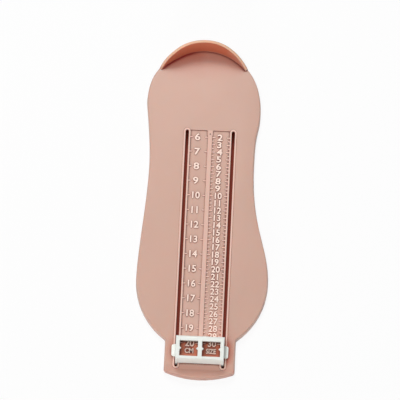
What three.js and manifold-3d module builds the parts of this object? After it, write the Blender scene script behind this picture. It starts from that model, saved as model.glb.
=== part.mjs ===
// A foot measuring gauge: a moulded plate in the outline of a small foot, with a heel wall at one end and
// a scale down its middle between two long slots. A windowed slider snaps into the slots from above and
// is pushed up against the toes.
//
// The plan is drawn from the scale. X runs across it from its middle line, and Y is minus the distance from
// the scale's zero, so the heel is at +Y and the toes at -Y. Z is up from the table. Sizes are millimetres.

import * as THREE from "three";
import { mergeVertices } from "three/addons/utils/BufferGeometryUtils.js";
import Module from "manifold-3d";

const wasm = await Module();
wasm.setup();

// Plate section
const plateHeight = 6; // table to the face that the foot stands on
const plateSkin = 2.4;
const skirtWall = 1.8;
const skirtDraft = 0.35; // how far the skirt leans in on its way up
const edgeRadius = 1;

// Footprint at the skirt's lower edge: an arc round the back of the heel, then each side curves through its
// shoulder, the heel's widest place, the waist and the ball
const heelCentre = new THREE.Vector2(-5.15, -33.7);
const heelRadius = 35.2;
const heelArc = { left: 31.8, right: 25.7 }; // degrees from the back to each end of the arc
const heelHalfWidth = 38;
const heelSideY = { left: -36.6, right: -41 };
const waist = { left: new THREE.Vector2(-39.55, -79.3), right: new THREE.Vector2(30.05, -78.5) };
const ballY = -157.8;
const ballX = { left: -44.3, right: 42.6 };
const ballRadius = 49;
// How far each side curve keeps straight on at these places, on the side that is named last
const arcShoulderHandle = { left: 8.7, right: 15 };
const sideShoulderHandle = { left: 22.7, right: 20.4 };
const sideWaistHandle = { left: 3, right: 17.4 };
const waistHeelHandle = { left: 18.9, right: 30.3 };
const waistBallHandle = { left: 24.9, right: 43.4 };
const ballWaistHandle = { left: 22.4, right: 25.7 };

// Tab that carries the scale's end beyond the ball
const tabHalfWidth = 23.2;
const toeMargin = 7.3; // slots' toe ends to the tab's end
const toeEndRadius = 61.5;
const tabCornerRadius = 2.2;
const neckRadius = 2;

// Heel wall
const wallHeight = 15.5; // above the plate
const wallThickness = 1.95;
const wallLean = 0.105; // outwards, per unit of height
const wallAngle = { left: 57, right: 54 }; // degrees from the back to where its height has run out
const wallFullness = { left: 3.1, right: 2.2 }; // exponent of the height's fall from the back
const wallRoot = 1; // how deep it runs into the plate
const rimRadius = 0.7;

// Slots and their lips, which the slider glides on
const slotSpacing = 30.6;
const slotWidth = 2.2;
const slotHeelMargin = 4.7; // slots' heel ends to the first centimetre number
const slotToeMargin = 16.2; // last centimetre number to the slots' toe ends
const lipWidth = 1.1;
const lipHeight = 0.35;

// Sunk scale between the slots, with a ridge down its middle and a tick at each graduation
const recessDepth = 0.6;
const recessToeMargin = 12.8; // last centimetre number to the recess's toe end
const ridgeWidth = 2.8;
const ridgePadWidth = 3.8;
const ridgePadLength = 4.4;
const ridgePadRadius = 1.7;
const ridgeSlope = 0.3; // how far each side of the ridge leans out towards its foot
const dimpleRadius = 0.45;
const dimpleDepth = 0.35;
const tickWidth = 0.7;
const tickHeight = 0.35;
const centimetre = 10;
const firstCentimetre = 6;
const lastCentimetre = 20;
const centimetreTick = 1.6;
const sizeStep = 5; // one shoe size number to the next
const sizeTick = 2;
const halfSizeTick = 1.2;

// Ribs under the plate
const ribThickness = 1.2;
const ribFootGap = 1.2; // table to the ribs
const slotRibDistance = 3.4; // slot's middle to the rib along it
const crossRibStep = 20;
const heelRibReading = 30;

// Slider frame
const parkedGap = 1.9; // slider's foot to the slots' toe ends
const sliderHeight = 10.4; // above the plate
const sliderTopLength = 15.2;
const sliderFootLength = 17.1;
const toeBarDepth = 3.5;
const frontBarDepth = 1.5;
const windowPost = 2.7;
const sideBarWidth = 2.55;
const topSkin = 1.8;
const toeWall = 2;
const frontWall = 1.8;
const frontRecess = 0.5; // how far the front wall's foot lies behind the side walls' toe edges
const postRib = 2;
const toeEdgeRadius = 1.8;
const frontEdgeRadius = 0.5;
const sideEdgeRadius = 0.6;
const runningGap = 0.3; // slider to plate

// Slider legs, which run along the slots' inner edges and flex outwards to snap in
const legThickness = 1.4;
const legClearance = 0.2; // slot's inner edge to the leg
const legToeGap = 0.3; // slider's foot to the leg's toe edge
const legHeelGap = 0.45;
const hookReach = 0.8;
const hookLength = 4.5;
const hookFlat = 0.5;
const legFootGap = 1.4; // table to the leg's tip

// Finger ears and window pointers, both on the line that the number is read at
const readingLine = 8.6; // behind the toe face
const earReach = 2.75;
const earLength = 7.9;
const earThickness = 1.6;
const earCornerRadius = 1.3;
const earBlend = 1.5;
const pointerReach = 1.2;
const pointerBase = 1.9;

// Faceting
const outlineStep = 4.5;
const heelStep = 1.5;
const arcSteps = 4;
const dimpleSides = 12;
const overlap = 0.5; // how far joined pieces run into each other

const firstReading = firstCentimetre * centimetre;
const lastReading = lastCentimetre * centimetre;
const slotHeelReading = firstReading - slotHeelMargin;
const slotToeReading = lastReading + slotToeMargin;
const recessToeReading = lastReading + recessToeMargin;
const toeEndY = -slotToeReading - toeMargin;
const toeFaceReading = slotToeReading - parkedGap - sliderFootLength;
const halfSlots = slotSpacing / 2;
const recessFloor = plateHeight - recessDepth;
const plateUnder = plateHeight - plateSkin;
const sliderTop = plateHeight + sliderHeight;
const sliderFoot = plateHeight + lipHeight + runningGap;
const innerHalf = halfSlots - slotWidth / 2 + legClearance; // slider's middle to the inside of its legs
const halfSlider = innerHalf + legThickness;

const plastic = (name, color, roughness) =>
  new THREE.MeshStandardMaterial({ name, color, roughness, metalness: 0 });
const pinkPlastic = plastic("pink_plastic", 0xd4ad9e, 0.45);
const whitePlastic = plastic("white_plastic", 0xf2f1ee, 0.35);

// Solids

function solidFrom(geometry) {
  const bare = geometry.clone();
  bare.deleteAttribute("normal");
  bare.deleteAttribute("uv");
  const merged = mergeVertices(bare, 1e-4);
  return new wasm.Manifold(
    new wasm.Mesh({
      numProp: 3,
      vertProperties: merged.attributes.position.array,
      triVerts: new Uint32Array(merged.index.array),
    }),
  );
}

function meshFrom(solid, name, material) {
  const { vertProperties, triVerts } = solid.getMesh();
  const geometry = new THREE.BufferGeometry();
  geometry.setAttribute("position", new THREE.BufferAttribute(vertProperties, 3));
  geometry.setIndex(new THREE.BufferAttribute(triVerts, 1));
  const flat = geometry.toNonIndexed();
  flat.computeVertexNormals();
  const mesh = new THREE.Mesh(flat, material);
  mesh.name = name;
  return mesh;
}

function box(x0, x1, y0, y1, z0, z1) {
  const geometry = new THREE.BoxGeometry(x1 - x0, y1 - y0, z1 - z0);
  return solidFrom(geometry.translate((x0 + x1) / 2, (y0 + y1) / 2, (z0 + z1) / 2));
}

function prism(points, low, high) {
  const options = { depth: high - low, bevelEnabled: false };
  return new THREE.ExtrudeGeometry(new THREE.Shape(points), options).translate(0, 0, low);
}

const uprightPrism = (points, z0, z1) => solidFrom(prism(points, z0, z1));

// Points are (y, z) and the prism runs along X.
function prismAlongX(points, x0, x1) {
  const turn = new THREE.Matrix4().makeBasis(
    new THREE.Vector3(0, 1, 0),
    new THREE.Vector3(0, 0, 1),
    new THREE.Vector3(1, 0, 0),
  );
  return solidFrom(prism(points, x0, x1).applyMatrix4(turn));
}

// Points are (x, z) and the prism runs along Y.
function prismAlongY(points, y0, y1) {
  const turn = new THREE.Matrix4().makeBasis(
    new THREE.Vector3(1, 0, 0),
    new THREE.Vector3(0, 0, 1),
    new THREE.Vector3(0, -1, 0),
  );
  return solidFrom(prism(points, -y1, -y0).applyMatrix4(turn));
}

// A polygon from corners [x, y, radius], with each corner that has a radius turned into an arc.
function filleted(corners) {
  const points = corners.map(([x, y]) => new THREE.Vector2(x, y));
  return corners.flatMap(([, , radius], i) => {
    const corner = points[i];
    if (!radius) return [corner];
    const back = points.at(i - 1).clone().sub(corner).normalize();
    const ahead = points[(i + 1) % points.length].clone().sub(corner).normalize();
    const half = Math.acos(back.dot(ahead)) / 2;
    const inward = back.clone().add(ahead).normalize();
    const centre = corner.clone().addScaledVector(inward, radius / Math.sin(half));
    const start = back.multiplyScalar(radius / Math.tan(half)).add(corner).sub(centre).angle();
    const end = ahead.multiplyScalar(radius / Math.tan(half)).add(corner).sub(centre).angle();
    const sweep = THREE.MathUtils.euclideanModulo(end - start + Math.PI, 2 * Math.PI) - Math.PI;
    return Array.from({ length: arcSteps + 1 }, (_, k) => {
      const angle = start + (sweep * k) / arcSteps;
      return new THREE.Vector2(Math.cos(angle), Math.sin(angle)).multiplyScalar(radius).add(centre);
    });
  });
}

// A solid through rings of Vector3 with equal counts. Both ends are closed like the flat outline.
function loft(rings, endOutline) {
  const count = rings[0].length;
  const index = [];
  for (let r = 0; r + 1 < rings.length; r++) {
    for (let i = 0; i < count; i++) {
      const a = r * count + i;
      const b = r * count + ((i + 1) % count);
      index.push(a, b, b + count, a, b + count, a + count);
    }
  }
  const last = (rings.length - 1) * count;
  for (const [a, b, c] of THREE.ShapeUtils.triangulateShape(endOutline, [])) {
    index.push(a, c, b);
    index.push(last + a, last + b, last + c);
  }
  const geometry = new THREE.BufferGeometry().setFromPoints(rings.flat());
  geometry.setIndex(index);
  return solidFrom(geometry);
}

// Footprint

const below = (point, distance) => new THREE.Vector2(point.x, point.y - distance);

// One side of the foot as three curves from the heel's arc to the ball, and the ball's centre.
function sideCurves(side, sign) {
  const angle = THREE.MathUtils.degToRad(heelArc[side]);
  const outward = new THREE.Vector2(sign * Math.sin(angle), Math.cos(angle));
  const onward = new THREE.Vector2(sign * Math.cos(angle), -Math.sin(angle));
  const arcEnd = heelCentre.clone().addScaledVector(outward, heelRadius);
  const widest = new THREE.Vector2(heelCentre.x + sign * heelHalfWidth, heelSideY[side]);
  const middle = waist[side];
  const ball = new THREE.Vector2(ballX[side], ballY);
  const curve = (...points) => new THREE.CubicBezierCurve(...points);
  return {
    shoulder: curve(
      arcEnd,
      arcEnd.clone().addScaledVector(onward, arcShoulderHandle[side]),
      below(widest, -sideShoulderHandle[side]),
      widest,
    ),
    toWaist: curve(
      widest,
      below(widest, sideWaistHandle[side]),
      below(middle, -waistHeelHandle[side]),
      middle,
    ),
    toBall: curve(
      middle,
      below(middle, waistBallHandle[side]),
      below(ball, -ballWaistHandle[side]),
      ball,
    ),
    ballCentre: new THREE.Vector2(ballX[side] - sign * ballRadius, ballY),
  };
}

// The fillet where the ball runs into the tab's straight side.
function neckFillet(ballCentre, sign) {
  const x = sign * (tabHalfWidth + neckRadius);
  const reach = ballRadius + neckRadius;
  const centre = new THREE.Vector2(x, ballY - Math.sqrt(reach ** 2 - (x - ballCentre.x) ** 2));
  return { centre, angle: centre.clone().sub(ballCentre).angle() };
}

// The corner between the tab's right side and its curved end.
function tabCorner() {
  const endCentre = new THREE.Vector2(0, toeEndY + toeEndRadius);
  const x = tabHalfWidth - tabCornerRadius;
  const reach = toeEndRadius - tabCornerRadius;
  const centre = new THREE.Vector2(x, endCentre.y - Math.sqrt(reach ** 2 - x ** 2));
  return { centre, endCentre, angle: centre.clone().sub(endCentre).angle() };
}

const reversed = ({ v0, v1, v2, v3 }) => new THREE.CubicBezierCurve(v3, v2, v1, v0);
const arc = ({ x, y }, radius, from, to, clockwise = false) =>
  new THREE.EllipseCurve(x, y, radius, radius, from, to, clockwise);

// The curves of the footprint, counter-clockwise from the heel's widest place on the right.
function footCurves() {
  const left = sideCurves("left", -1);
  const right = sideCurves("right", 1);
  const leftNeck = neckFillet(left.ballCentre, -1);
  const rightNeck = neckFillet(right.ballCentre, 1);
  const corner = tabCorner();
  const leftCorner = new THREE.Vector2(-corner.centre.x, corner.centre.y);
  const mirrored = Math.PI - corner.angle; // the end arc's angle at the left corner
  const quarter = Math.PI / 2;
  const heelRight = quarter - THREE.MathUtils.degToRad(heelArc.right);
  const heelLeft = quarter + THREE.MathUtils.degToRad(heelArc.left);
  return {
    heel: [reversed(right.shoulder), arc(heelCentre, heelRadius, heelRight, heelLeft), left.shoulder],
    sides: [
      left.toWaist,
      left.toBall,
      arc(left.ballCentre, ballRadius, Math.PI, leftNeck.angle),
      arc(leftNeck.centre, neckRadius, leftNeck.angle - Math.PI, 0, true),
      arc(leftCorner, tabCornerRadius, Math.PI, mirrored),
      arc(corner.endCentre, toeEndRadius, mirrored, corner.angle),
      arc(corner.centre, tabCornerRadius, corner.angle, 2 * Math.PI),
      arc(rightNeck.centre, neckRadius, Math.PI, rightNeck.angle - Math.PI, true),
      arc(right.ballCentre, ballRadius, rightNeck.angle, 2 * Math.PI),
      reversed(right.toBall),
      reversed(right.toWaist),
    ],
  };
}

// Points along curves that follow each other. A straight run between two of them needs none of its own.
function pointsAlong(curves, step) {
  return curves.flatMap((curve, i) => {
    const steps = Math.max(arcSteps, Math.ceil(curve.getLength() / step));
    const points = curve.getSpacedPoints(steps);
    const next = curves[i + 1];
    const joined = !next || next.getPoint(0).distanceTo(points.at(-1)) < overlap;
    return joined ? points.slice(0, -1) : points;
  });
}

const foot = footCurves();
const outline = [...pointsAlong(foot.heel, heelStep), ...pointsAlong(foot.sides, outlineStep)];

const outlineNormals = outline.map((_, i) => {
  const along = outline[(i + 1) % outline.length].clone().sub(outline.at(i - 1)).normalize();
  return new THREE.Vector2(along.y, -along.x);
});

const footprint = (inset) =>
  outline.map((point, i) => point.clone().addScaledVector(outlineNormals[i], -inset));

// A solid whose section at each level [z, inset] is the footprint drawn in by the inset.
function footSolid(levels) {
  const rings = levels.map(([z, inset]) => footprint(inset).map((p) => new THREE.Vector3(p.x, p.y, z)));
  return loft(rings, outline);
}

// Plate

function plateShell() {
  const rounding = Array.from({ length: arcSteps + 1 }, (_, k) => {
    const angle = (Math.PI / 2 / arcSteps) * k;
    const z = plateHeight - edgeRadius * (1 - Math.sin(angle));
    return [z, skirtDraft + edgeRadius * (1 - Math.cos(angle))];
  });
  const cavity = footSolid([
    [-overlap, skirtWall],
    [plateUnder, skirtWall + skirtDraft],
  ]);
  return footSolid([[0, 0], ...rounding]).subtract(cavity);
}

// The wall's section as (outward, up) corners, measured from the footprint's edge and the plate's face.
function wallSection(height) {
  const outer = (z) => wallLean * z - skirtDraft;
  const inner = (z) => outer(z) - wallThickness;
  return filleted([
    [inner(-wallRoot), -wallRoot, 0],
    [outer(-wallRoot), -wallRoot, 0],
    [outer(height), height, rimRadius],
    [inner(height), height, rimRadius],
  ]);
}

// The wall stands on the outline's own points, from its left end to its right end.
function heelWall() {
  const sections = [];
  outline.forEach((point, i) => {
    const { x, y } = point.clone().sub(heelCentre);
    const side = x < 0 ? "left" : "right";
    const share = Math.abs(THREE.MathUtils.radToDeg(Math.atan2(x, y))) / wallAngle[side];
    if (share > 1) return;
    const height = wallHeight * (1 - share ** wallFullness[side]);
    const section = wallSection(height).map((corner) => {
      const place = point.clone().addScaledVector(outlineNormals[i], corner.x);
      return new THREE.Vector3(place.x, place.y, plateHeight + corner.y);
    });
    sections.unshift(section);
  });
  return loft(sections, wallSection(wallHeight));
}

// The outline of a slot, or of its lip, with round ends.
function slotOutline(x, halfWidth) {
  const y0 = -slotToeReading + slotWidth / 2 - halfWidth;
  const y1 = -slotHeelReading - slotWidth / 2 + halfWidth;
  return filleted([
    [x - halfWidth, y0, halfWidth],
    [x + halfWidth, y0, halfWidth],
    [x + halfWidth, y1, halfWidth],
    [x - halfWidth, y1, halfWidth],
  ]);
}

const slotSides = [-halfSlots, halfSlots];
const recessHalfWidth = halfSlots - slotWidth / 2 - lipWidth;

function recess() {
  return box(
    -recessHalfWidth - overlap,
    recessHalfWidth + overlap,
    -recessToeReading,
    -slotHeelReading,
    recessFloor,
    plateHeight + overlap,
  );
}

function lips() {
  return slotSides.map((x) =>
    uprightPrism(slotOutline(x, slotWidth / 2 + lipWidth), plateUnder + overlap, plateHeight + lipHeight),
  );
}

const slots = () =>
  slotSides.map((x) => uprightPrism(slotOutline(x, slotWidth / 2), -overlap, plateHeight + 2 * overlap));

// The ridge between the two columns, with the pad at its heel end.
function ridge() {
  const half = ridgeWidth / 2;
  const foot = half + ridgeSlope;
  const bar = prismAlongY(
    [
      new THREE.Vector2(-foot, plateUnder + overlap),
      new THREE.Vector2(foot, plateUnder + overlap),
      new THREE.Vector2(foot, recessFloor),
      new THREE.Vector2(half, plateHeight),
      new THREE.Vector2(-half, plateHeight),
      new THREE.Vector2(-foot, recessFloor),
    ],
    -recessToeReading - overlap,
    -slotHeelReading + overlap,
  );
  const padHalf = ridgePadWidth / 2;
  const padToe = -slotHeelReading - ridgePadLength;
  const pad = uprightPrism(
    filleted([
      [-padHalf, padToe, ridgePadRadius],
      [padHalf, padToe, ridgePadRadius],
      [padHalf, -slotHeelReading + overlap, 0],
      [-padHalf, -slotHeelReading + overlap, 0],
    ]),
    plateUnder + overlap,
    plateHeight,
  );
  return bar.add(pad).subtract(dimple(padToe + padHalf));
}

function dimple(y) {
  const geometry = new THREE.CylinderGeometry(dimpleRadius, dimpleRadius, 2 * dimpleDepth, dimpleSides);
  return solidFrom(geometry.rotateX(Math.PI / 2).translate(0, y, plateHeight));
}

// One tick at a reading, standing on the recess's floor from the edge at x towards the column's middle.
function tick(reading, x, length) {
  const [x0, x1] = length > 0 ? [x - overlap, x + length] : [x + length, x + overlap];
  const half = tickWidth / 2;
  return box(x0, x1, -reading - half, -reading + half, recessFloor - overlap, recessFloor + tickHeight);
}

// The ticks run out from the lips and from the ridge, centimetres on the left and sizes on the right.
function ticks() {
  const ridgeEdge = ridgeWidth / 2 + ridgeSlope;
  const made = [];
  for (let n = firstCentimetre; n <= lastCentimetre; n++) {
    made.push(tick(n * centimetre, -recessHalfWidth, centimetreTick));
    made.push(tick(n * centimetre, -ridgeEdge, -centimetreTick));
  }
  const halfStep = sizeStep / 2;
  const halfSteps = Math.round((lastReading - firstReading) / halfStep);
  for (let k = 0; k <= halfSteps; k++) {
    const reading = firstReading + k * halfStep;
    const length = k % 2 ? halfSizeTick : sizeTick;
    made.push(tick(reading, ridgeEdge, length));
    made.push(tick(reading, recessHalfWidth, -length));
  }
  return made;
}

// Ribs along the slots and across the plate, clear of the slider's hooks.
function ribs() {
  const inside = footSolid([
    [ribFootGap, skirtWall / 2],
    [plateUnder + overlap, skirtWall / 2],
  ]);
  const half = ribThickness / 2;
  const top = plateUnder + 2 * overlap;
  const heelEnd = -slotHeelReading + slotRibDistance;
  const innerRib = halfSlots - slotRibDistance;
  const outerRib = halfSlots + slotRibDistance;
  const wide = 2 * heelHalfWidth;
  const made = [];
  for (const x of [-outerRib, -innerRib, innerRib, outerRib])
    made.push(box(x - half, x + half, toeEndY, heelEnd, 0, top));
  made.push(box(-wide, wide, heelEnd - half, heelEnd + half, 0, top));
  for (let y = heelEnd - crossRibStep; y > -slotToeReading; y -= crossRibStep) {
    made.push(box(-wide, -outerRib, y - half, y + half, 0, top));
    made.push(box(-innerRib, innerRib, y - half, y + half, 0, top));
    made.push(box(outerRib, wide, y - half, y + half, 0, top));
  }
  made.push(box(-wide, wide, -heelRibReading - half, -heelRibReading + half, 0, top));
  made.push(box(heelCentre.x - half, heelCentre.x + half, heelEnd, heelCentre.y + heelRadius, 0, top));
  return wasm.Manifold.union(made).intersect(inside);
}

function basePlate() {
  const shell = wasm.Manifold.union([plateShell(), heelWall(), ribs()]);
  const scale = shell.subtract(recess());
  return wasm.Manifold.union([scale, ridge(), ...lips(), ...ticks()]).subtract(
    wasm.Manifold.union(slots()),
  );
}

// Slider

const toeFaceY = -toeFaceReading;
const readingY = toeFaceY - readingLine;
const footEndY = toeFaceY - sliderFootLength;
const topEndY = toeFaceY - sliderTopLength;

// The frame's outside: its side view, cut to its rounded front view, with the front wall set back.
function frameBlock() {
  const side = prismAlongX(
    filleted([
      [footEndY, sliderFoot, 0],
      [toeFaceY, sliderFoot, 0],
      [toeFaceY, sliderTop, toeEdgeRadius],
      [topEndY, sliderTop, frontEdgeRadius],
    ]),
    -halfSlider - overlap,
    halfSlider + overlap,
  );
  const front = prismAlongY(
    filleted([
      [-halfSlider, sliderFoot - overlap, 0],
      [halfSlider, sliderFoot - overlap, 0],
      [halfSlider, sliderTop, sideEdgeRadius],
      [-halfSlider, sliderTop, sideEdgeRadius],
    ]),
    footEndY - overlap,
    toeFaceY + overlap,
  );
  return side.intersect(front).subtract(frontSetback());
}

// What is taken off the front wall between the side walls, from nothing under the top to most at the foot.
function frontSetback() {
  const run = sliderFootLength - sliderTopLength;
  const top = sliderTop - topSkin;
  const low = sliderFoot - overlap;
  return prismAlongX(
    [
      new THREE.Vector2(topEndY - (run * topSkin) / (sliderTop - sliderFoot), top),
      new THREE.Vector2(footEndY - overlap, low),
      new THREE.Vector2(footEndY + frontRecess, low),
    ],
    -innerHalf,
    innerHalf,
  );
}

// The hollow under the frame's top, open downwards, between the toe wall and the sloping front wall.
function frameHollow() {
  const ceiling = sliderTop - topSkin;
  const slope = (sliderFootLength - sliderTopLength) / (sliderTop - sliderFoot);
  const frontAt = (z) => topEndY + frontWall - slope * (sliderTop - z);
  const floor = sliderFoot - overlap;
  return prismAlongX(
    [
      new THREE.Vector2(frontAt(floor), floor),
      new THREE.Vector2(toeFaceY - toeWall, floor),
      new THREE.Vector2(toeFaceY - toeWall, ceiling),
      new THREE.Vector2(frontAt(ceiling), ceiling),
    ],
    -innerHalf,
    innerHalf,
  );
}

// A window through the top on one side, with a pointer left standing in each of its long edges.
function sliderWindow(sign) {
  const near = windowPost / 2;
  const far = halfSlider - sideBarWidth;
  const heelEdge = toeFaceY - toeBarDepth;
  const toeEdge = topEndY + frontBarDepth;
  const half = pointerBase / 2;
  const points = [
    [near, toeEdge],
    [far, toeEdge],
    [far, readingY - half],
    [far - pointerReach, readingY],
    [far, readingY + half],
    [far, heelEdge],
    [near, heelEdge],
    [near, readingY + half],
    [near + pointerReach, readingY],
    [near, readingY - half],
  ].map(([x, y]) => new THREE.Vector2(sign * x, y));
  return uprightPrism(points, sliderTop - topSkin - overlap, sliderTop + overlap);
}

// A leg through its slot, with a hook at each end that catches under the scale's side of the slot.
function leg(sign) {
  const toeEnd = footEndY + legToeGap;
  const heelEnd = toeFaceY - legHeelGap;
  const hookTop = plateUnder - runningGap;
  const [x0, x1] = sign > 0 ? [innerHalf, halfSlider] : [-halfSlider, -innerHalf];
  const blade = box(x0, x1, toeEnd, heelEnd, legFootGap, sliderFoot + overlap);
  const hookProfile = [
    [innerHalf + overlap, hookTop],
    [innerHalf + overlap, legFootGap],
    [innerHalf, legFootGap],
    [innerHalf - hookReach, hookTop - hookFlat],
    [innerHalf - hookReach, hookTop],
  ].map(([x, z]) => new THREE.Vector2(sign * x, z));
  const hooks = [
    prismAlongY(hookProfile, toeEnd, toeEnd + hookLength),
    prismAlongY(hookProfile, heelEnd - hookLength, heelEnd),
  ];
  return wasm.Manifold.union([blade, ...hooks]);
}

// A finger ear on one side: a tab with round corners that sweeps up into the leg's outer face.
function ear(sign) {
  const edge = halfSlider + earReach;
  const top = sliderFoot + earThickness;
  const blendPoints = Array.from({ length: arcSteps + 1 }, (_, k) => {
    const angle = (Math.PI / 2 / arcSteps) * k;
    const x = halfSlider + earBlend * (1 - Math.sin(angle));
    return [x, top + earBlend * (1 - Math.cos(angle))];
  });
  const profile = [
    [halfSlider - overlap, sliderFoot],
    [edge, sliderFoot],
    [edge, top],
    ...blendPoints,
    [halfSlider - overlap, top + earBlend],
  ].map(([x, z]) => new THREE.Vector2(sign * x, z));
  const plan = filleted([
    [sign * (halfSlider - 2 * overlap), readingY - earLength / 2, 0],
    [sign * edge, readingY - earLength / 2, earCornerRadius],
    [sign * edge, readingY + earLength / 2, earCornerRadius],
    [sign * (halfSlider - 2 * overlap), readingY + earLength / 2, 0],
  ]);
  const swept = prismAlongY(profile, readingY - earLength, readingY + earLength);
  return swept.intersect(uprightPrism(plan, sliderFoot - overlap, sliderTop));
}

function slider() {
  const sides = [-1, 1];
  const cuts = [frameHollow(), ...sides.map(sliderWindow)];
  const frame = frameBlock().subtract(wasm.Manifold.union(cuts));
  const rib = frameBlock().intersect(
    box(-postRib / 2, postRib / 2, footEndY, toeFaceY, sliderFoot, sliderTop - topSkin / 2),
  );
  return wasm.Manifold.union([frame, rib, ...sides.map(leg), ...sides.map(ear)]);
}

// The gauge, with its origin on the table below the middle of its outer box.
const gauge = new THREE.Group();
gauge.name = "foot_gauge";
gauge.add(meshFrom(basePlate(), "base_plate", pinkPlastic));
gauge.add(meshFrom(slider(), "slider", whitePlastic));

const outer = new THREE.Box3().setFromObject(gauge);
const middle = outer.getCenter(new THREE.Vector3());
gauge.position.set(-middle.x, -middle.y, -outer.min.z);

export default gauge;
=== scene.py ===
"""Looks for the foot measuring gauge: moulded plastics, raised numbers, studio light and the photo's camera.

Metres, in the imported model's frame: +Y towards the heel, +Z up. A reading is a distance along the scale, from its
zero at the heel wall towards the toes.
"""

import math

import bmesh
import bpy
from mathutils import Matrix, Vector


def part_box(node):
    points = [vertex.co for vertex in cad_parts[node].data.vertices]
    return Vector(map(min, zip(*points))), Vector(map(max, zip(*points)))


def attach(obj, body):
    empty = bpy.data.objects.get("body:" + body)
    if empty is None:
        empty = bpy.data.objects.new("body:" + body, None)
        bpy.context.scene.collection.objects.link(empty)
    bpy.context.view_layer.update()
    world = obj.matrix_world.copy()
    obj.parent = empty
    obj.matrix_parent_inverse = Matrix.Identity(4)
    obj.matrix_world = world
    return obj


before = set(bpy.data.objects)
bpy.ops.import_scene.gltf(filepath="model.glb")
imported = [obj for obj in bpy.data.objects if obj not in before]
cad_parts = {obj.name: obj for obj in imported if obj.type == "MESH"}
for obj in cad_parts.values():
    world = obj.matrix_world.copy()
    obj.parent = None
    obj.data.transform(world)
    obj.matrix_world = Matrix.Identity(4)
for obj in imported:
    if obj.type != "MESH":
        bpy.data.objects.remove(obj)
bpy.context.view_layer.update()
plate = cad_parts["base_plate"]
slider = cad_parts["slider"]

MM = 0.001

# The scale's own places. Its middle line is the slider's middle, and the slider is parked at a known reading.
PARKED_READING = 197.2 * MM
slider_low, slider_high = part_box("slider")
SCALE_X = (slider_low.x + slider_high.x) / 2
SCALE_ZERO = slider_high.y + PARKED_READING

# Heights on the plate
PLATE_TOP = 6.0 * MM
RECESS_FLOOR = 5.4 * MM
TICK_TOP = 5.75 * MM
LIP_TOP = 6.35 * MM

# Readings where things end at the heel and at the toes
LIPS_ALONG = (53.5 * MM, 217.5 * MM)
RIDGE_ALONG = (55.3 * MM, 212.8 * MM)
TAB_START = 214.0 * MM

# Distances from the scale's middle line
RIDGE_HALF_WIDTH = 1.5 * MM
TICKS_ACROSS = (1.6 * MM, 13.3 * MM)
LIPS_ACROSS = (12.9 * MM, 17.7 * MM)
SCALE_HALF_WIDTH = 17.4 * MM
LIP_EDGE_ACROSS = (17.3 * MM, 19.2 * MM)

# Numbers. Each column starts at one left edge, measured from the scale's middle line.
CENTIMETRE_HEIGHT = 4.75 * MM
SIZE_HEIGHT = 4.35 * MM
DIGIT_RISE = 0.75 * MM
DIGIT_SINK = 0.02 * MM
CENTIMETRE_LEFT = -10.1 * MM
SIZE_LEFT = 4.85 * MM
ONE_DIGIT_SHARE = 1.25
CENTIMETRE_STEP = 10 * MM
SIZE_ZERO_READING = 50 * MM
SIZE_STEP = 5 * MM
LABEL_HEIGHT = 3.5 * MM
LABEL_READING = 205.1 * MM
LABEL_WEIGHT = 0.016
SIZE_LABEL_LEFT = SIZE_LEFT - 1.0 * MM
CENTIMETRE_LABEL_SHARE = 0.9
SIZE_LABEL_SHARE = 0.8


def srgb(r, g, b):
    """Linear RGBA of an sRGB colour given in 0 to 255."""

    def linear(c):
        c /= 255
        return c / 12.92 if c <= 0.04045 else ((c + 0.055) / 1.055) ** 2.4

    return linear(r), linear(g), linear(b), 1.0


# Camera

VIEW_AZIMUTH = math.radians(-2.676)
VIEW_ELEVATION = math.radians(75)
VIEW_TARGET = Vector((-0.00386, 0.00706, PLATE_TOP))
VIEW_DISTANCE = 2.2
LENS = 300
SENSOR_WIDTH = 36


def add_camera():
    away = Vector(
        (
            -math.sin(VIEW_AZIMUTH) * math.cos(VIEW_ELEVATION),
            -math.cos(VIEW_AZIMUTH) * math.cos(VIEW_ELEVATION),
            math.sin(VIEW_ELEVATION),
        )
    )
    data = bpy.data.cameras.new("photo_camera")
    data.sensor_width = SENSOR_WIDTH
    data.lens = LENS
    data.clip_start = 0.05
    data.clip_end = 20
    camera = bpy.data.objects.new("photo_camera", data)
    bpy.context.scene.collection.objects.link(camera)
    turn = away.to_track_quat("Z", "Y").to_matrix().to_4x4()
    camera.matrix_world = Matrix.Translation(VIEW_TARGET + VIEW_DISTANCE * away) @ turn
    bpy.context.scene.camera = camera


# Node trees


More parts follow.
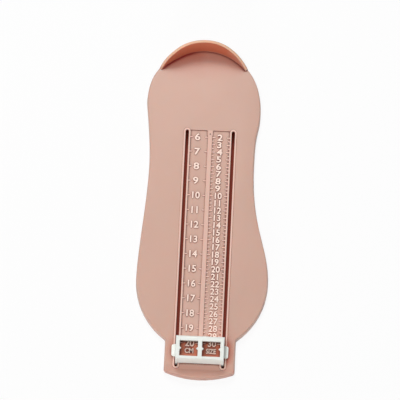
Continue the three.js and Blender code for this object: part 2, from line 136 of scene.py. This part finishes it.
class Graph:
    """A short way to write a node tree. It starts empty."""

    def __init__(self, tree):
        self.tree = tree
        tree.nodes.clear()

    def node(self, kind, **inputs):
        """A new node. An input's name has _ for each space."""
        made = self.tree.nodes.new(kind)
        for name, value in inputs.items():
            self.put(made.inputs[name.replace("_", " ")], value)
        return made

    def put(self, socket, value):
        if isinstance(value, bpy.types.NodeSocket):
            self.tree.links.new(value, socket)
        else:
            socket.default_value = value

    def math(self, operation, *values, clamp=False):
        made = self.tree.nodes.new("ShaderNodeMath")
        made.operation = operation
        made.use_clamp = clamp
        for socket, value in zip(made.inputs, values):
            self.put(socket, value)
        return made.outputs[0]

    def times(self, first, *others):
        """All the values multiplied."""
        for other in others:
            first = self.math("MULTIPLY", first, other)
        return first

    def most(self, first, *others):
        """The largest of the values."""
        for other in others:
            first = self.math("MAXIMUM", first, other)
        return first

    def less(self, value, share):
        """1 where value is 0, and less by the share where it is 1."""
        return self.math("MULTIPLY_ADD", value, -share, 1.0)

    def ramp(self, value, start, end):
        """0 where value is start and before it, 1 where it is end and beyond it."""
        run = end - start
        return self.math("MULTIPLY_ADD", value, 1 / run, -start / run, clamp=True)

    def band(self, value, low, high, soft):
        """1 where value lies between low and high, with edges that are soft metres wide."""
        rise = self.math("MULTIPLY_ADD", value, 1 / soft, 0.5 - low / soft, clamp=True)
        fall = self.math("MULTIPLY_ADD", value, -1 / soft, 0.5 + high / soft, clamp=True)
        return self.times(rise, fall)

    def mix(self, factor, first, second):
        made = self.tree.nodes.new("ShaderNodeMix")
        made.data_type = "RGBA"
        factor_socket, first_socket, second_socket = (made.inputs[i] for i in (0, 6, 7))
        self.put(factor_socket, factor)
        self.put(first_socket, first)
        self.put(second_socket, second)
        return made.outputs[2]

    def noise(self, vector, cells, detail):
        """Noise from 0 to 1, with so many cells to a metre."""
        return self.node("ShaderNodeTexNoise", Vector=vector, Scale=cells, Detail=detail).outputs["Fac"]

    def openness(self, distance):
        """How much of the sky above the surface nothing hides within the distance, from 0 to 1."""
        made = self.node("ShaderNodeAmbientOcclusion", Distance=distance)
        made.samples = 12
        return made.outputs["AO"]

    def seen_ray(self):
        """1 for what the camera sees, straight, in a gloss or through a clear surface."""
        path = self.node("ShaderNodeLightPath")
        kinds = ("Is Camera Ray", "Is Glossy Ray", "Is Transmission Ray")
        return self.most(*(path.outputs[kind] for kind in kinds))


def new_material(name):
    """An empty material, its graph and the socket that takes its shader."""
    material = bpy.data.materials.new(name)
    material.use_nodes = True
    g = Graph(material.node_tree)
    return material, g, g.node("ShaderNodeOutputMaterial").inputs["Surface"]


# Plastics

# Noise cells to a metre, how far colour and gloss drift, and how strong the grain is
DRIFT_CELLS = 18.0
GLOSS_CELLS = 90.0
GRAIN_CELLS = 2600.0
DRIFT_DARK = 0.955
DRIFT_LIGHT = 1.03
GLOSS_DRIFT = 0.16
GRAIN_STRENGTH = 0.35


def moulded(name, colour, roughness, grain, edge, tint=None):
    """Moulded plastic: slow colour drift, fine grain, uneven gloss and slightly rounded edges.

    grain is the bump's depth and edge the rounding, in metres. tint(graph, place, base) gives another base colour.
    """
    material, g, surface = new_material(name)
    place = g.node("ShaderNodeTexCoord").outputs["Object"]
    dark = tuple(DRIFT_DARK * c for c in colour[:3]) + (1.0,)
    light = tuple(min(1.0, DRIFT_LIGHT * c) for c in colour[:3]) + (1.0,)
    base = g.mix(g.noise(place, DRIFT_CELLS, 3.0), dark, light)
    if tint:
        base = tint(g, place, base)
    rounded = g.node("ShaderNodeBevel", Radius=edge)
    rounded.samples = 6
    bump = g.node(
        "ShaderNodeBump",
        Strength=GRAIN_STRENGTH,
        Distance=grain,
        Height=g.noise(place, GRAIN_CELLS, 4.0),
        Normal=rounded.outputs["Normal"],
    )
    uneven = g.noise(place, GLOSS_CELLS, 3.0)
    gloss = g.math("MULTIPLY_ADD", uneven, GLOSS_DRIFT, roughness - GLOSS_DRIFT / 2)
    shader = g.node("ShaderNodeBsdfPrincipled", Base_Color=base, Roughness=gloss, Normal=bump.outputs["Normal"])
    g.put(surface, shader.outputs["BSDF"])
    return material, shader


def scatter(shader, weight, radius, depth):
    """Light that enters the plastic and comes out beside. radius is for red, green and blue."""
    shader.inputs["Subsurface Weight"].default_value = weight
    shader.inputs["Subsurface Radius"].default_value = radius
    shader.inputs["Subsurface Scale"].default_value = depth


PINK = srgb(203, 165, 149)
# Painted shade and glow on the heel wall's inner face
WALL_SHADE_PINK = srgb(198, 110, 80)
# Painted highlight on the heel wall's rim
RIM_HIGHLIGHT_PINK = srgb(226, 180, 150)
# Painted shade where something near hides the sky
SHADED_PINK = srgb(170, 82, 58)
# Painted orange glow in hollows that see little sky, such as the slider's windows
ENCLOSED_GLOW_PINK = srgb(228, 138, 108)
# Painted shade in narrow corners and along raised edges
CREVICE_SHADE_PINK = srgb(100, 30, 18)
# Painted red shade in the crease at the heel wall's left end
CREASE_SHADE_RED = srgb(125, 10, 0)
# Painted highlight on the ticks, lips and ridge, and painted light on the scale's toe end
HIGHLIGHT_PINK = srgb(240, 200, 186)
CREAM = srgb(252, 225, 211)
WHITE = srgb(234, 237, 231)

# How strong the painted highlights on ticks, lips and the middle ridge and the painted light on the scale's toe end
# are, from 0 to 1
TICK_HIGHLIGHT = 0.9
LIP_HIGHLIGHT = 0.7
RIDGE_HIGHLIGHT = 0.4
TOE_END_LIGHT = 0.25

# How far away a thing can be and still hide the sky
SHADE_REACH = 25 * MM
CREVICE_REACH = 2 * MM
CREASE_REACH = 4 * MM

# How open the sky is where a painted shade starts and where it is full
PLATE_SHADE = (0.90, 0.62)
SCALE_SHADE = (0.6, 0.4)
TAB_SHADE = (0.99, 0.85)
ENCLOSED_SHADE = (0.45, 0.2)
CREVICE_SHADE = (0.93, 0.5)
CREASE_SHADE = (0.80, 0.60)

# Where a paint starts and where it is full, as readings or as x
WALL_READINGS = (30 * MM, 20 * MM)
LIT_TOE_END_READINGS = (150 * MM, 185 * MM)
CROWDED_READINGS = (199 * MM, 197 * MM)
TOE_RIGHT_READINGS = (100 * MM, 160 * MM)
TOE_RIGHT_X = (0, 15 * MM)
# Painted wall shade: none right of the first x, full left of the second
WALL_SHADE_X = (24 * MM, 9 * MM)
CREASE_X = (-8 * MM, -16 * MM)
HEEL_LEFT_X = (-27 * MM, -6 * MM)

# How deep the painted shade is: in general, how much deeper at two places, on the tab and in the right window
SHADE_DEPTH = 0.55
TOE_RIGHT_DEPTH = 0.65
HEEL_LEFT_DEPTH = 0.2
TAB_DEPTH = 0.3
RIGHT_WINDOW_DEPTH = 0.35

# How much fainter the painted shade lines are between the sizes at the scale's lit toe end and along the lips
CROWDED_RELIEF = 0.8
LIP_RELIEF = 0.75


class Spot:
    """Where a point of the plate lies and which way it faces, as sockets of its material."""

    def __init__(self, g, place):
        self.x, y, self.z = g.node("ShaderNodeSeparateXYZ", Vector=place).outputs
        self.reading = g.math("SUBTRACT", SCALE_ZERO, y)
        self.across = g.math("ABSOLUTE", g.math("SUBTRACT", self.x, SCALE_X))
        normal = g.node("ShaderNodeNewGeometry").outputs["Normal"]
        _, self.faces_heel, self.faces_up = g.node("ShaderNodeSeparateXYZ", Vector=normal).outputs
        self.along = g.band(self.reading, *LIPS_ALONG, 0.3 * MM)
        self.in_scale = g.times(g.ramp(self.across, SCALE_HALF_WIDTH, SCALE_HALF_WIDTH - 0.4 * MM), self.along)
        above = g.ramp(self.z, PLATE_TOP - 0.2 * MM, PLATE_TOP - 0.05 * MM)
        self.on_top = g.most(above, self.in_scale)
        self.by_wall = g.ramp(self.reading, *WALL_READINGS)
        # The scale's toe end, where light is painted
        self.worn = g.times(g.ramp(self.reading, *LIT_TOE_END_READINGS), self.in_scale)


def paleness(g, spot):
    """How strong the painted highlight is on the ticks, the lips and the middle ridge."""
    ticks = g.times(
        g.band(spot.z, TICK_TOP - 0.2 * MM, TICK_TOP + 0.1 * MM, 0.05 * MM),
        spot.along,
        g.band(spot.across, *TICKS_ACROSS, 0.05 * MM),
    )
    lips = g.times(
        g.band(spot.z, PLATE_TOP + 0.05 * MM, LIP_TOP + 0.2 * MM, 0.1 * MM),
        spot.along,
        g.band(spot.across, *LIPS_ACROSS, 0.1 * MM),
    )
    ridge = g.times(
        g.band(spot.reading, *RIDGE_ALONG, 0.3 * MM),
        g.band(spot.z, PLATE_TOP - 0.1 * MM, LIP_TOP, 0.05 * MM),
        g.ramp(spot.across, RIDGE_HALF_WIDTH, RIDGE_HALF_WIDTH - 0.3 * MM),
    )
    return g.most(g.times(ticks, TICK_HIGHLIGHT), g.times(lips, LIP_HIGHLIGHT), g.times(ridge, RIDGE_HIGHLIGHT))


def paint_wall(g, spot, base):
    """Painted shade on the heel wall's inner face, warm orange and deeper to the left, and a painted highlight on
    its rim.
    """
    wall = g.times(
        g.ramp(spot.z, PLATE_TOP + 0.2 * MM, PLATE_TOP + 2 * MM),
        g.ramp(spot.faces_heel, 0.6, 0.1),
    )
    rim = g.times(wall, g.ramp(spot.faces_up, 0.4, 0.8))
    face = g.times(wall, g.ramp(spot.faces_up, 0.8, 0.3), g.ramp(spot.x, *WALL_SHADE_X))
    base = g.mix(face, base, WALL_SHADE_PINK)
    return g.mix(rim, base, RIM_HIGHLIGHT_PINK)


def shade_depth(g, spot, sky):
    """How deep the painted warm shade is where something hides the sky from the plate, the scale or the tab."""
    around = g.math("SUBTRACT", spot.on_top, spot.in_scale)
    shade = g.most(
        g.times(g.ramp(sky, *PLATE_SHADE), around),
        g.times(g.ramp(sky, *SCALE_SHADE), spot.in_scale),
    )
    # Painted shade is deeper towards the toes on the right and by the heel wall on the left
    toe_right = g.times(g.ramp(spot.reading, *TOE_RIGHT_READINGS), g.ramp(spot.x, *TOE_RIGHT_X))
    heel_left = g.times(spot.by_wall, g.band(spot.x, *HEEL_LEFT_X, 6 * MM))
    deeper = g.most(g.times(toe_right, TOE_RIGHT_DEPTH), g.times(heel_left, HEEL_LEFT_DEPTH))
    shade = g.math("MULTIPLY", shade, g.math("ADD", deeper, SHADE_DEPTH), clamp=True)
    tab = g.ramp(spot.reading, TAB_START, TAB_START + 2 * MM)
    on_tab = g.times(g.ramp(sky, *TAB_SHADE), tab, TAB_DEPTH)
    return g.math("ADD", g.times(shade, g.less(tab, 1.0)), on_tab)


def paint_shade(g, spot, base):
    """Painted warm shade on the plate, and a painted orange glow below the slider that is darker in its right
    window.
    """
    sky = g.openness(SHADE_REACH)
    base = g.mix(shade_depth(g, spot, sky), base, SHADED_PINK)
    # Painted orange glow where little sky is seen, then a deeper painted shade in the right window
    enclosed = g.times(g.ramp(sky, *ENCLOSED_SHADE), spot.on_top)
    base = g.mix(enclosed, base, ENCLOSED_GLOW_PINK)
    right = g.ramp(spot.x, SCALE_X, SCALE_X + 3 * MM)
    return g.mix(g.times(enclosed, right, RIGHT_WINDOW_DEPTH), base, SHADED_PINK)


def paint_crevices(g, spot, base):
    """Painted shade: dark lines in the narrow corners, fainter along the lips and between the sizes at the lit toe
    end, and a red painted shade in the crease.
    """
    crowded = g.times(
        spot.worn,
        g.ramp(spot.x, SCALE_X + 2 * MM, SCALE_X + 3 * MM),
        g.ramp(spot.reading, *CROWDED_READINGS),
    )
    lip_edge = g.times(g.band(spot.across, *LIP_EDGE_ACROSS, 0.3 * MM), spot.along)
    narrow = g.times(g.ramp(g.openness(CREVICE_REACH), *CREVICE_SHADE), spot.on_top)
    lines = g.times(narrow, g.less(crowded, CROWDED_RELIEF), g.less(lip_edge, LIP_RELIEF))
    base = g.mix(lines, base, CREVICE_SHADE_PINK)
    # Painted red shade in the crease at the heel wall's left end
    wall_left = g.times(g.ramp(spot.x, *CREASE_X), spot.by_wall)
    crease = g.times(g.ramp(g.openness(CREASE_REACH), *CREASE_SHADE), wall_left)
    return g.mix(crease, base, CREASE_SHADE_RED)


def plate_tint(g, place, base):
    """The plate's colours, from where a point lies and how much of the sky it sees: painted shade, glow, highlights
    and light on the plate's own pink.
    """
    spot = Spot(g, place)
    base = paint_wall(g, spot, base)
    # Painted light: the scale turns paler towards its toe end
    base = g.mix(g.times(spot.worn, TOE_END_LIGHT), base, HIGHLIGHT_PINK)
    base = paint_shade(g, spot, base)
    base = paint_crevices(g, spot, base)
    # Painted highlight on the ticks, lips and middle ridge
    return g.mix(paleness(g, spot), base, HIGHLIGHT_PINK)


def finish_plastics():
    """Both plastics go on their nodes. The numbers' own is given back."""
    pink, shader = moulded("pink_plastic", PINK, 0.43, 0.03 * MM, 0.25 * MM, plate_tint)
    scatter(shader, 0.4, (1.0, 0.45, 0.3), 1.5 * MM)
    white, shader = moulded("white_plastic", WHITE, 0.3, 0.01 * MM, 0.3 * MM)
    scatter(shader, 0.15, (1.0, 0.9, 0.8), 1 * MM)
    for node, material in ((plate, pink), (slider, white)):
        node.data.materials.clear()
        node.data.materials.append(material)
    return moulded("raised_number", CREAM, 0.4, 0.01 * MM, 0.08 * MM)[0]


def smooth(node):
    """Flat faces stay flat, and the curved runs of a CAD node shade smoothly."""
    node.data.polygons.foreach_set("use_smooth", [True] * len(node.data.polygons))
    attributes = node.data.attributes
    if "custom_normal" in attributes:
        attributes.remove(attributes["custom_normal"])
    weld = node.modifiers.new("weld", "WELD")
    weld.merge_threshold = 0.002 * MM
    split = node.modifiers.new("split", "EDGE_SPLIT")
    split.split_angle = math.radians(28)


# Numbers


def number_mesh(text, height, width_share, weight):
    """The mesh of a raised word, its left edge at x = 0, its middle at y = 0 and its underside at z = 0."""
    data = bpy.data.curves.new("number", "FONT")
    data.body = text
    data.size = 1.0
    data.align_x = "CENTER"
    data.resolution_u = 5
    data.offset = weight
    data.extrude = 0.03
    data.bevel_depth = 0.028
    data.bevel_resolution = 3
    obj = bpy.data.objects.new("number", data)
    bpy.context.scene.collection.objects.link(obj)
    bpy.context.view_layer.update()
    evaluated = obj.evaluated_get(bpy.context.evaluated_depsgraph_get())
    mesh = bpy.data.meshes.new_from_object(evaluated)
    bpy.data.objects.remove(obj)
    bpy.data.curves.remove(data)
    corners = [v.co for v in mesh.vertices]
    low = Vector([min(c[i] for c in corners) for i in range(3)])
    high = Vector([max(c[i] for c in corners) for i in range(3)])
    size = high - low
    scale = height / size.y
    fit = Matrix.Diagonal((scale * width_share, scale, DIGIT_RISE / size.z, 1.0))
    mesh.transform(fit @ Matrix.Translation((-low.x, -(low.y + high.y) / 2, -low.z)))
    return mesh


def raised_words(name, words, material, left, height, weight=0.0):
    """One piece from (text, reading, width share), its words from one left edge on the recess's floor."""
    bm = bmesh.new()
    for text, reading, share in words:
        mesh = number_mesh(text, height, share, weight)
        place = Vector((SCALE_X + left, SCALE_ZERO - reading, RECESS_FLOOR - DIGIT_SINK))
        mesh.transform(Matrix.Translation(place))
        bm.from_mesh(mesh)
        bpy.data.meshes.remove(mesh)
    joined = bpy.data.meshes.new(name)
    bm.to_mesh(joined)
    bm.free()
    joined.materials.append(material)
    piece = bpy.data.objects.new(name, joined)
    bpy.context.scene.collection.objects.link(piece)
    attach(piece, "plate")


def column(numbers, zero, step):
    """The words of a column, one step of reading apart. A number of one digit is drawn wider."""
    return [(str(n), zero + step * n, ONE_DIGIT_SHARE if n < 10 else 1.0) for n in numbers]


def add_numbers(cream):
    centimetres = column(range(6, 21), 0, CENTIMETRE_STEP)
    sizes = column(range(2, 31), SIZE_ZERO_READING, SIZE_STEP)
    raised_words("centimetre_numbers", centimetres, cream, CENTIMETRE_LEFT, CENTIMETRE_HEIGHT)
    raised_words("size_numbers", sizes, cream, SIZE_LEFT, SIZE_HEIGHT)
    labels = (
        ("centimetre_label", "CM", CENTIMETRE_LEFT, CENTIMETRE_LABEL_SHARE),
        ("size_label", "SIZE", SIZE_LABEL_LEFT, SIZE_LABEL_SHARE),
    )
    for name, text, left, share in labels:
        raised_words(name, [(text, LABEL_READING, share)], cream, left, LABEL_HEIGHT, LABEL_WEIGHT)


# Floor and light

FLOOR_REACH = 4.0
FLOOR_Z = -0.1 * MM
FLOOR_PAINT = (0.85, 0.85, 0.85, 1)
FLOOR_WHITE = 0.88

# The card under the slots, a dark sheet of painted shade: its size, its colours, and the readings where it turns
# darker at the slots' ends
CARD_HALF_WIDTH = 19 * MM
CARD_ALONG = (50 * MM, 219 * MM)
CARD_Z = -0.02 * MM
SHADED_FLOOR = (0.105, 0.022, 0.015, 1)
DARK_FLOOR = (0.03, 0.004, 0.002, 1)
DARK_HEEL_END = (68 * MM, 56 * MM)
DARK_TOE_END = (212.5 * MM, 213.5 * MM)

# The world and the lamps together give a level surface its own colour: the shares add up to about 1.
WORLD_SHARE = 0.18

# Name, place, width, share, and whether the lamp has a reflection of its own
LAMPS = (
    ("key", (-0.35, -0.3, 2.0), 0.7, 0.42, False),
    ("sheen", (-0.2, 0.95, 1.3), 0.5, 0.36, True),
    ("front", (-0.35, -1.8, 0.4), 0.6, 0.075, False),
)


def level_card(name, low, high, z, material):
    """A level rectangle of the stage between two corners."""
    mesh = bpy.data.meshes.new(name)
    corners = [(low[0], low[1], z), (high[0], low[1], z), (high[0], high[1], z), (low[0], high[1], z)]
    mesh.from_pydata(corners, [], [(0, 1, 2, 3)])
    mesh.materials.append(material)
    card = bpy.data.objects.new(name, mesh)
    bpy.context.scene.collection.objects.link(card)


def floor_material():
    """Pale paint that the camera sees as white, and that still takes the gauge's shadow."""
    material, g, surface = new_material("floor")
    blend = g.node("ShaderNodeMixShader")
    g.put(blend.inputs[0], g.times(g.seen_ray(), FLOOR_WHITE))
    g.put(blend.inputs[1], g.node("ShaderNodeBsdfDiffuse", Color=FLOOR_PAINT).outputs[0])
    g.put(blend.inputs[2], g.node("ShaderNodeEmission").outputs[0])
    g.put(surface, blend.outputs[0])
    return material


def shaded_floor_material():
    """Painted shade for the floor in the gauge's own shade, as the slots show it, with a dim glow of its own
    towards the camera. It is darkest at the slots' ends.
    """
    material, g, surface = new_material("shaded_floor")
    place = g.node("ShaderNodeTexCoord").outputs["Object"]
    y = g.node("ShaderNodeSeparateXYZ", Vector=place).outputs["Y"]
    reading = g.math("SUBTRACT", SCALE_ZERO, y)
    dark = g.most(g.ramp(reading, *DARK_HEEL_END), g.ramp(reading, *DARK_TOE_END))
    colour = g.mix(dark, SHADED_FLOOR, DARK_FLOOR)
    both = g.node("ShaderNodeAddShader")
    g.put(both.inputs[0], g.node("ShaderNodeBsdfDiffuse", Color=colour).outputs[0])
    g.put(both.inputs[1], g.node("ShaderNodeEmission", Color=colour, Strength=g.seen_ray()).outputs[0])
    g.put(surface, both.outputs[0])
    return material


def add_floor():
    """The floor, and above it the card of painted shade that the gauge's slots look down on."""
    level_card("floor", (-FLOOR_REACH, -FLOOR_REACH), (FLOOR_REACH, FLOOR_REACH), FLOOR_Z, floor_material())
    heel_end, toe_end = CARD_ALONG
    low = (SCALE_X - CARD_HALF_WIDTH, SCALE_ZERO - toe_end)
    high = (SCALE_X + CARD_HALF_WIDTH, SCALE_ZERO - heel_end)
    level_card("shaded_floor", low, high, CARD_Z, shaded_floor_material())


def add_world():
    """Even light all round, which a camera, a gloss or a clear surface sees as white."""
    world = bpy.data.worlds.new("studio")
    bpy.context.scene.world = world
    world.use_nodes = True
    g = Graph(world.node_tree)
    strength = g.math("MULTIPLY_ADD", g.seen_ray(), 1 - WORLD_SHARE, WORLD_SHARE)
    background = g.node("ShaderNodeBackground", Color=(1, 1, 1, 1), Strength=strength)
    g.node("ShaderNodeOutputWorld", Surface=background.outputs[0])


def add_lamp(name, place, width, share, gloss):
    """A round soft lamp aimed at the gauge. share is how much of a level white surface's full white it gives."""
    place = Vector(place)
    data = bpy.data.lights.new(name, "AREA")
    data.shape = "DISK"
    data.size = width
    data.energy = share * math.pi**2 * place.length**3 / place.z
    lamp = bpy.data.objects.new(name, data)
    bpy.context.scene.collection.objects.link(lamp)
    lamp.location = place
    lamp.visible_glossy = gloss
    lamp.rotation_euler = (-place).to_track_quat("-Z", "Y").to_euler()


add_camera()
number_plastic = finish_plastics()
smooth(plate)
smooth(slider)
add_numbers(number_plastic)
add_floor()
add_world()
for lamp in LAMPS:
    add_lamp(*lamp)
bpy.context.scene.view_settings.view_transform = "Standard"
